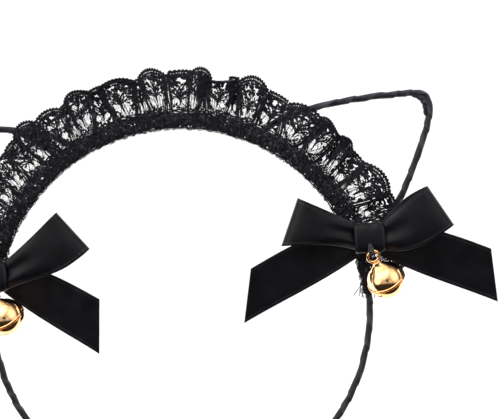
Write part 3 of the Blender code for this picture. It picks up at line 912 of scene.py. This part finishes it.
def turned_object(name, profile, sides, material, floor=None, axis_end=None):
    """A closed solid of revolution about Z. The profile is in millimetres, from its inside to its outside."""
    rings = [(r * MM, z * MM) for r, z in profile]
    points = [(r * cos(2 * pi * k / sides), r * sin(2 * pi * k / sides), z)
              for r, z in rings for k in range(sides)]
    faces = grid_faces(len(rings), sides, around=True)
    if floor is not None:
        points.append((0, 0, floor * MM))
        faces += [(len(points) - 1, (k + 1) % sides, k) for k in range(sides)]
    last = (len(rings) - 1) * sides
    if axis_end is not None:
        points.append((0, 0, axis_end * MM))
        faces += [(len(points) - 1, last + k, last + (k + 1) % sides) for k in range(sides)]
    return make_object(name, points, faces, material, outwards=True, crease=METAL_CREASE)


# ---- bows ----

# Each loop: its length from the knot, and the heights of its upper and lower edge from mouth to fold,
# and each tail: where its two corners lie. All in millimetres from the knot's centre.
BOW_SHAPES = {
    "right": {
        "a": {"fold": ((-23.6, 15.6), (-30.6, -0.6)), "top": (5.2, -1.2), "low": (-4.2, 1.4), "lift": 1.3},
        "b": {"fold": ((21.4, 16.2), (29.5, 2.1)), "top": (4.6, 0.4), "low": (-4.0, -3.4), "lift": 1.2},
        "tail_a": ((-41.8, -7.7), (-45.6, -26.7)),
        "tail_b": ((42.5, -7.3), (43.9, -26.2)),
    },
    "left": {
        "a": {"fold": ((-20.5, 18.6), (-28.6, 4.4)), "top": (4.6, 0.6), "low": (-5.0, -2.2), "lift": 1.2},
        "b": {"fold": ((23.7, 20.3), (34.2, 6.9)), "top": (4.4, -0.5), "low": (-5.0, -2.4), "lift": 0.5,
              "belly": 1.7},
        "tail_a": ((-36.0, -11.0), (-35.0, -30.2)),
        "tail_b": ((35.8, -11.0), (33.9, -30.3)),
    },
}
KNOT_HALF_WIDTH = 5.1 * MM
LOOP_DEPTH = 2.7 * MM
TAIL_LEAN = 3.0 * MM


def selvedge(t):
    """The raised woven edge of the ribbon, at t from 0 to 1 across it."""
    inset = min(t, 1 - t) * RIBBON
    return 0.09 * MM * ease(1 - abs(inset - 0.35 * MM) / (0.4 * MM)) - 0.07 * MM * ease(
        1 - abs(inset - 1.05 * MM) / (0.25 * MM))


def make_loop(word, way, shape, centre, material):
    """A ribbon loop: back layer out, round the fold, and front layer in."""
    side = -1 if way == "a" else 1
    upper, lower = (Vector((x * MM, 0, z * MM)) for x, z in shape["fold"])
    mouth_top = Vector((side * (KNOT_HALF_WIDTH - 0.9 * MM), 0, shape["top"][0] * MM))
    mouth_low = Vector((side * (KNOT_HALF_WIDTH - 0.9 * MM), 0, shape["low"][0] * MM))

    def place(s, t):
        back = s < 0.5
        out = 1 - abs(2 * s - 1)
        out = out if out < 0.86 else 0.86 + 0.14 * sin((out - 0.86) / 0.14 * pi / 2)
        bulge = sin(pi * min(1, out * 1.02) * 0.5) ** 0.55 * sqrt(max(0.0, 1 - (out / 1.0) ** 14))
        depth = LOOP_DEPTH * bulge * (1 if back else -1)
        top = mouth_top.lerp(upper, out) + Vector((0, 0, shape["top"][1] * MM * sin(pi * out)))
        sag = shape["low"][1] * MM * sin(pi * out ** shape.get("belly", 0.8))
        low = mouth_low.lerp(lower, out) + Vector((0, 0, sag))
        lift = shape["lift"] * MM * sin(pi * out) if back else 0.0
        point = low.lerp(top, t) + Vector((0, 0, lift))
        crown = (0.4 if back else -1.2) * MM * sin(pi * t) * (1 - out ** 2)
        pleats = 0.62 * MM * cos(3.2 * pi * t + 0.8) * (1 - ease(out * 1.35))
        ridge = selvedge(t) * (1 if back else -1)
        point.y = depth + crown + pleats + ridge
        return centre + point, (s * 2 * abs(upper.x), (t - 0.5) * RIBBON, 0)

    loop = sheet_object(f"bow_{word}_loop_{way}_satin", 96, 37, place, material)
    declare_ribbon(loop, f"bow_{word}_loop_{way}")


def declare_ribbon(piece, node):
    hand_over(piece, "band", "black_satin", node)


def make_tail(word, way, corners, centre, depth, material):
    """A ribbon tail from behind the knot to its slanting cut, with a slow wave."""
    side = -1 if way == "a" else 1
    upper, lower = (Vector((x * MM, 0, z * MM)) for x, z in corners)
    start_top = Vector((side * 2.4 * MM, 0, 6.0 * MM))
    start_low = Vector((side * 1.2 * MM, 0, -5.0 * MM))

    def place(s, t):
        top = start_top.lerp(upper, s) + Vector((0, 0, 1.8 * MM * sin(pi * s)))
        low = start_low.lerp(lower, s) + Vector((0, 0, -1.6 * MM * sin(pi * s) * (1 - s)))
        point = low.lerp(top, t)
        wave = 0.45 * MM * sin(1.6 * pi * s + side) + 0.3 * MM * (t - 0.5) * sin(pi * s)
        pleats = 0.45 * MM * cos(3 * pi * t + 0.5) * (1 - ease(s * 3.2))
        leaning = TAIL_LEAN * (0.5 - t) * ease(s * 2)
        point.y = depth - centre.y + wave + pleats - selvedge(t) + leaning
        return centre + point, (s * upper.length, (t - 0.5) * RIBBON, 0)

    tail = sheet_object(f"bow_{word}_tail_{way}_satin", 70, 37, place, material)
    declare_ribbon(tail, f"bow_{word}_tail_{way}")


def make_knot(word, centre, material):
    """The ribbon that wraps the middle of the bow: a soft band with pinched sides and pleats."""
    half_height, half_depth = 5.8 * MM, 3.6 * MM
    around, across = 72, 33
    points, flat = [], []
    for i in range(around):
        turn = 2 * pi * i / around
        corner = (abs(cos(turn)) ** 3.2 + abs(sin(turn)) ** 3.2) ** (-1 / 3.2)
        for j in range(across):
            t = j / (across - 1)
            waist = 1 - 0.10 * sin(pi * t) * abs(sin(turn)) ** 2
            pleat = 1 + 0.035 * cos(5 * pi * t + 0.6) * (0.4 + 0.6 * abs(sin(turn)))
            roll = 1 - 0.16 * (2 * abs(t - 0.5)) ** 6
            size = corner * waist * pleat * roll
            lean = 0.9 * MM * (sin(turn) * 0.5 + 0.5) * (0.5 - t)
            x = (t - 0.5) * 2 * KNOT_HALF_WIDTH * (1 + 0.05 * cos(turn)) + lean * 0.4
            y, z = -half_depth * size * cos(turn), half_height * size * sin(turn)
            points.append(centre + Vector((x, y, z)))
            flat.append((turn * half_height, (t - 0.5) * RIBBON, 0))
    faces = grid_faces(around, across, closed=True)
    faces.append(tuple(i * across for i in reversed(range(around))))
    faces.append(tuple(i * across + across - 1 for i in range(around)))
    knot = make_object(f"bow_{word}_knot_satin", points, faces, material, flat, outwards=True, crease=60)
    hand_over(knot, "band", "black_satin", f"bow_{word}_knot")


def make_strap(word, angle, material):
    """The pass of ribbon round the hoop and heading that holds a bow, with rounded corners."""
    low_x, high_x = HEADING_INNER - HOOP_RADIUS - 0.5 * MM, HEADING_OUTER - HOOP_RADIUS + 0.4 * MM
    low_y, high_y = -4.0 * MM, WRAP_RADIUS + 0.5 * MM
    place_on = hoop_frame(angle, HOOP_RADIUS)
    middle = Vector(((low_x + high_x) / 2, (low_y + high_y) / 2, 0))
    width = 5.2 * MM

    def place(s, t):
        turn = 2 * pi * s
        corner = (abs(cos(turn)) ** 4 + abs(sin(turn)) ** 4) ** (-0.25)
        pleat = 1 + 0.025 * cos(4 * pi * t)
        local = middle + Vector(((high_x - low_x) / 2 * corner * cos(turn) * pleat,
                                 (high_y - low_y) / 2 * corner * sin(turn) * pleat, (t - 0.5) * width))
        return place_on @ local, (s * 26 * MM, (t - 0.5) * RIBBON, 0)

    strap = sheet_object(f"bow_{word}_strap_satin", 61, 15, place, material, outwards=False)
    change_mesh(strap.data, lambda shape: bmesh.ops.remove_doubles(shape, verts=shape.verts, dist=0.01 * MM))
    declare_ribbon(strap, f"bow_{word}_strap")


def make_pad(word, centre, depth, material):
    """A rolled scrap of ribbon sewn between the strap and the knot."""
    path = [Vector((centre.x, depth, centre.z + z * MM)) for z in np.linspace(-3.4, 3.4, 18)]

    def radius(along, turn):
        end = min(along, 6.8 * MM - along)
        return 1.75 * MM * sqrt(max(0.04, min(1, end / (1.0 * MM)))) + 0.12 * MM * sin(5 * turn)

    pad = tube_object(f"bow_{word}_pad_roll", path, radius, 24, material)
    hand_over(pad, "band", "black_satin", f"bow_{word}_pad")


def middle_of(node):
    """The middle of a CAD node's box."""
    low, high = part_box(node)
    return (low + high) / 2


def make_bows(material):
    """Both bows, each placed by its CAD nodes."""
    for word, shapes in BOW_SHAPES.items():
        centre = middle_of(f"bow_{word}_knot")
        depth = middle_of(f"bow_{word}_pad").y
        strap = middle_of(f"bow_{word}_strap")
        make_knot(word, centre, material)
        make_pad(word, centre, depth, material)
        make_strap(word, atan2(strap.x, strap.z - CENTRE_Z), material)
        for way in ("a", "b"):
            make_loop(word, way, shapes[way], centre, material)
            make_tail(word, way, shapes[f"tail_{way}"], centre, depth, material)


# ---- bells ----

BELL_RADIUS = 6.5
BELL_INNER = 5.95
METAL_CREASE = 35
RING_RADIUS = 2.05
RING_WIRE = 0.5
RING_TO_BELL = 10.9


def sphere_profile(radius, first, last, steps):
    """An arc of a ball's outline, between two angles in degrees from its top."""
    return [(radius * sin(a), radius * cos(a)) for a in np.linspace(radians(first), radians(last), steps)]


def bell_frame(word):
    """The bell's own frame at rest: local Z up its axis, origin at the middle of the ball."""
    up = Vector(JOINTS[f"bell_{word}_rattle"]["axis"]).normalized()
    side = -Vector(JOINTS[f"bell_{word}_nod"]["axis"]).normalized()
    ring_top = Vector(JOINTS[f"bell_{word}_nod"]["pos_m"])
    turn = Matrix((side, up.cross(side), up)).transposed().to_4x4()
    middle = ring_top - up * (RING_RADIUS + RING_TO_BELL) * MM
    return Matrix.Translation(middle) @ turn


def make_bell(word, gold, steel, thread):
    """Two turned half shells, the ring on the neck, the pellet and the thread."""
    place = bell_frame(word)
    neck = [(1.25, 8.7), (1.42, 8.5), (1.45, 8.1), (1.6, 7.6), (1.95, 7.1), (2.5, 6.6), (3.1, 5.95)]
    upper_profile = [*sphere_profile(BELL_INNER, 4, 88.5, 22), (BELL_INNER, 0.12), (6.62, 0.12), (6.78, 0.2),
                     (6.78, 0.48), (6.62, 0.58), *sphere_profile(BELL_RADIUS, 85, 32, 30), *reversed(neck)]
    upper = turned_object(f"bell_{word}_upper_gold", upper_profile, 96, gold, floor=BELL_INNER, axis_end=8.7)
    lower_profile = [*sphere_profile(BELL_INNER, 176, 91.5, 26), (BELL_INNER, -0.12), (6.62, -0.12),
                     (6.82, -0.22), (6.82, -0.52), (6.62, -0.62), *sphere_profile(BELL_RADIUS, 95, 176, 34)]
    lower = turned_object(f"bell_{word}_lower_gold", lower_profile, 96, gold, -BELL_INNER, -BELL_RADIUS)
    cut_slot(lower)
    ring = torus_object(f"bell_{word}_ring_gold", RING_RADIUS, RING_WIRE, gold)
    ring.data.transform(Matrix.Translation((0, 0, RING_TO_BELL * MM)))
    for piece, node in ((upper, "upper_shell"), (lower, "lower_shell"), (ring, "ring")):
        piece.data.transform(place)
        hand_over(piece, f"bell_{word}", "gold_plate", f"bell_{word}_{node}")
    make_pellet(word, steel)
    make_hanger(word, thread)


def torus_object(name, radius, wire, material):
    """A wire ring in the local XZ plane, a little thicker at its foot, where it was soldered."""
    around, sides = 64, 18
    points = []
    for i in range(around):
        turn = 2 * pi * i / around
        thick = wire * (1 + 0.12 * max(0.0, -sin(turn)) ** 3)
        for k in range(sides):
            roll = 2 * pi * k / sides
            reach = radius + thick * cos(roll)
            points.append((reach * cos(turn) * MM, thick * sin(roll) * MM, reach * sin(turn) * MM))
    faces = grid_faces(around, sides, around=True, closed=True)
    return make_object(name, points, faces, material, outwards=True)


def cut_slot(shell):
    """Cuts the sound slot across the bell's underside, with a round hole at each end."""
    cutter = bmesh.new()
    outline = []
    slot, hole, reach = 0.65 * MM, 1.3 * MM, 4.2 * MM
    meet = asin(slot / hole)
    for side in (1, -1):
        for k in range(19):
            angle = (pi - meet) * (1 - k / 9.0)
            outline.append((side * (reach + hole * cos(angle)), side * hole * sin(angle)))
    low, high = -9 * MM, -3.2 * MM
    ring_low = [cutter.verts.new((x, y, low)) for x, y in outline]
    ring_high = [cutter.verts.new((x, y, high)) for x, y in outline]
    cutter.faces.new(ring_low)
    cutter.faces.new(list(reversed(ring_high)))
    count = len(outline)
    for k in range(count):
        n = (k + 1) % count
        cutter.faces.new((ring_low[n], ring_low[k], ring_high[k], ring_high[n]))
    bmesh.ops.recalc_face_normals(cutter, faces=cutter.faces)
    mesh = bpy.data.meshes.new("slot_cutter")
    cutter.to_mesh(mesh)
    cutter.free()
    tool = bpy.data.objects.new("slot_cutter", mesh)
    bpy.context.scene.collection.objects.link(tool)
    cut = shell.modifiers.new("slot", "BOOLEAN")
    cut.object = tool
    cut.operation = "DIFFERENCE"
    cut.solver = "EXACT"
    bpy.context.view_layer.update()
    result = bpy.data.meshes.new_from_object(shell.evaluated_get(bpy.context.evaluated_depsgraph_get()))
    shell.modifiers.clear()
    shell.data = result
    bpy.data.objects.remove(tool)
    result.set_sharp_from_angle(angle=radians(METAL_CREASE))


def make_pellet(word, steel):
    """The loose ball, slightly uneven."""
    low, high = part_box(f"bell_{word}_pellet")
    shape = bmesh.new()
    bmesh.ops.create_icosphere(shape, subdivisions=4, radius=1.45 * MM)
    for vertex in shape.verts:
        dent = 1 + 0.012 * sin(9000 * vertex.co.x) * sin(8000 * vertex.co.y + 1)
        vertex.co = vertex.co * dent + (low + high) / 2
    mesh = bpy.data.meshes.new("pellet")
    shape.to_mesh(mesh)
    shape.free()
    mesh.materials.append(steel)
    mesh.shade_smooth()
    pellet = bpy.data.objects.new(f"bell_{word}_pellet_ball", mesh)
    bpy.context.scene.collection.objects.link(pellet)
    hand_over(pellet, f"pellet_{word}", "steel_wire", f"bell_{word}_pellet")


def make_hanger(word, thread):
    """The thread that is sewn five times from the knot round the ring's top."""
    top = Vector(JOINTS[f"bell_{word}_sway"]["pos_m"])
    ring = Vector(JOINTS[f"bell_{word}_nod"]["pos_m"]) - top
    heading = atan2(ring.z, ring.y)
    aside = Vector((0, -sin(heading), cos(heading)))
    threads = Threads()
    for number in range(5):
        aside_mm = (number - 1.7) * 0.36
        shift = Vector((aside_mm * MM, 0, 0))
        drop = RING_RADIUS - sqrt(RING_RADIUS ** 2 - aside_mm ** 2)
        reach = (RING_WIRE + 0.33 + drop + 0.08 * (number % 2)) * MM
        spread = pi - acos(min(1.0, reach / ring.length))
        turns = [heading + spread * (1 - k / 8) for k in range(17)]
        loop = [ring + shift + reach * Vector((0, cos(turn), sin(turn))) for turn in turns]
        ends = [[way * aside * 0.4 * MM - ring * 0.22 + shift * 0.3, way * aside * 0.42 * MM + shift * 0.7]
                for way in (1, -1)]
        path = smooth_path([*ends[0], *loop, *reversed(ends[1])], 4)
        threads.add(even_path(path, 0.15 * MM) + np.array(top), 0.26 * MM, 8)
    hanger = threads.make(f"bell_{word}_hanger_thread", thread)
    hand_over(hanger, f"hanger_{word}", "black_thread", f"bell_{word}_hanger")


# ---- camera, light and stage ----

# Each light: its name, place, size in metres, power in watts and colour
LIGHTS = (
    ("key", (-0.45, -0.75, 0.65), 0.6, 9.0, (1.0, 0.98, 0.96)),
    ("fill", (0.7, -0.6, 0.1), 0.5, 3.5, (0.95, 0.97, 1.0)),
    ("top", (0.1, 0.1, 0.9), 0.7, 8.0, (1, 1, 1)),
)


def make_lights():
    """Soft round lamps aimed at the crown, which the gold doesn't show."""
    target = Vector((0.02, 0, CENTRE_Z + 0.02))
    for name, place, size, power, colour in LIGHTS:
        lamp = bpy.data.lights.new(name, "AREA")
        lamp.shape = "DISK"
        lamp.size = size
        lamp.energy = power
        lamp.color = colour
        thing = bpy.data.objects.new(name, lamp)
        thing.location = place
        thing.rotation_euler = (target - Vector(place)).to_track_quat("-Z", "Y").to_euler()
        thing.visible_glossy = False
        bpy.context.scene.collection.objects.link(thing)


def make_stage():
    """A pale sweep: a floor that curves up into a backdrop."""
    floor_z = cad_low.z - 0.004
    front, bend_start, bend_radius, top, half_width = -1.6, 0.75, 0.4, 2.2, 2.4
    profile = [(front, floor_z), (bend_start, floor_z)]
    for a in np.linspace(0, pi / 2, 13)[1:]:
        profile.append((bend_start + bend_radius * sin(a), floor_z + bend_radius - bend_radius * cos(a)))
    profile.append((bend_start + bend_radius, top))
    points = [(x, y, z) for y, z in profile for x in (-half_width, half_width)]
    made = Shader("white_sweep", (0.50, 0.50, 0.50), 0.7)
    sweep = make_object("studio_sweep", points, grid_faces(len(profile), 2), made.material)
    sweep.visible_glossy = False


def make_camera():
    """Straight in front, and rolled, so that the headband leans to one side in the picture."""
    roll, distance, seen_width, sensor = radians(4.5), 0.5, 177.5 * MM, 36.0
    place = Matrix.Translation((27.2 * MM, -distance, CENTRE_Z + 34.1 * MM))
    right = Vector((cos(roll), 0, -sin(roll)))
    up = Vector((sin(roll), 0, cos(roll)))
    camera = bpy.data.cameras.new("camera")
    camera.sensor_width = sensor
    camera.lens = sensor * distance / seen_width
    thing = bpy.data.objects.new("camera", camera)
    thing.matrix_world = place @ Matrix((right, up, Vector((0, -1, 0)))).transposed().to_4x4()
    bpy.context.scene.collection.objects.link(thing)
    bpy.context.scene.camera = thing


def make_world():
    """A white tent that the gold reflects: bright behind the object, dimmer in front, with a few panels.

    Seen directly it is plain white, so that every view has a plain background."""
    world = bpy.data.worlds.new("soft_room")
    made = Nodes(world)
    direction = made.add("TexCoord", "Generated")
    y, z = made.axis(direction, "Y"), made.axis(direction, "Z")

    def step(value, start, end, low, high):
        return made.to_range(value, low, high, start, end, "SMOOTHSTEP")

    def lobe(towards, *stops):
        facing = made.add("VectorMath", "Value", {0: direction, 1: Vector(towards).normalized()},
                          operation="DOT_PRODUCT")
        return step(facing, *stops)

    lit = step(y, -0.35, 0.05, 0.80, 0.10)
    mottle = step(made.noise(direction, 4.5, 3.0), 0.38, 0.62, 0.72, 1.12)
    floor_gap, ceiling = step(z, -0.42, -0.22, 0.05, 1.0), step(z, 0.1, 0.8, 1.0, 1.9)
    for share in (floor_gap, ceiling, mottle, lobe(OPENING, 0.982, 0.990, 1.0, 0.12)):
        lit = made.math("MULTIPLY", lit, share)
    for towards, start, full, brightness in PANELS:
        lit = made.math("ADD", lit, lobe(towards, start, full, 0.0, brightness))
    lit = made.math("MAXIMUM", lit, step(y, 0.0, 0.3, 0.0, TENT_BRIGHTNESS))
    seen = made.add("LightPath", "Is Camera Ray")
    background = made.nodes["Background"]
    made.fill(background.inputs["Color"], (1.0, 0.985, 0.97, 1))
    made.fill(background.inputs["Strength"], made.add("Mix", "Result", {"Factor": seen, "A": lit, "B": 1.0}))
    bpy.context.scene.world = world
    bpy.context.scene.view_settings.view_transform = "Standard"


make_camera()
make_world()
make_stage()
make_lights()

SATIN = satin_material()
BINDING = binding_material()
LACE = lace_material("lace_thread", 0.006)
HEADING = lace_material("lace_heading_cloth", 0.007)
THREAD = plain_detail_material("sewing_thread", (0.003, 0.003, 0.004), (0.010, 0.010, 0.013), 0.6, 0.8)
STEEL = plain_detail_material("drawn_steel", (0.36, 0.36, 0.38), (0.55, 0.55, 0.57), 0.25, 0.45, 1.0)
RUBBER = plain_detail_material("cap_rubber", (0.010, 0.010, 0.011), (0.022, 0.022, 0.024), 0.42, 0.6)
GOLD = gold_material()

make_ruffle(LACE)
make_heading(HEADING)
make_heading_edge(LACE)
make_gathering_thread(THREAD)
make_bindings(BINDING)
make_caps(RUBBER)
make_bows(SATIN)
for bell_word in ("left", "right"):
    make_bell(bell_word, GOLD, STEEL, THREAD)
for wire in ("hoop_wire", "ear_left_wire", "ear_right_wire"):
    frame["nodes"][wire].data.materials.clear()
    frame["nodes"][wire].data.materials.append(STEEL)
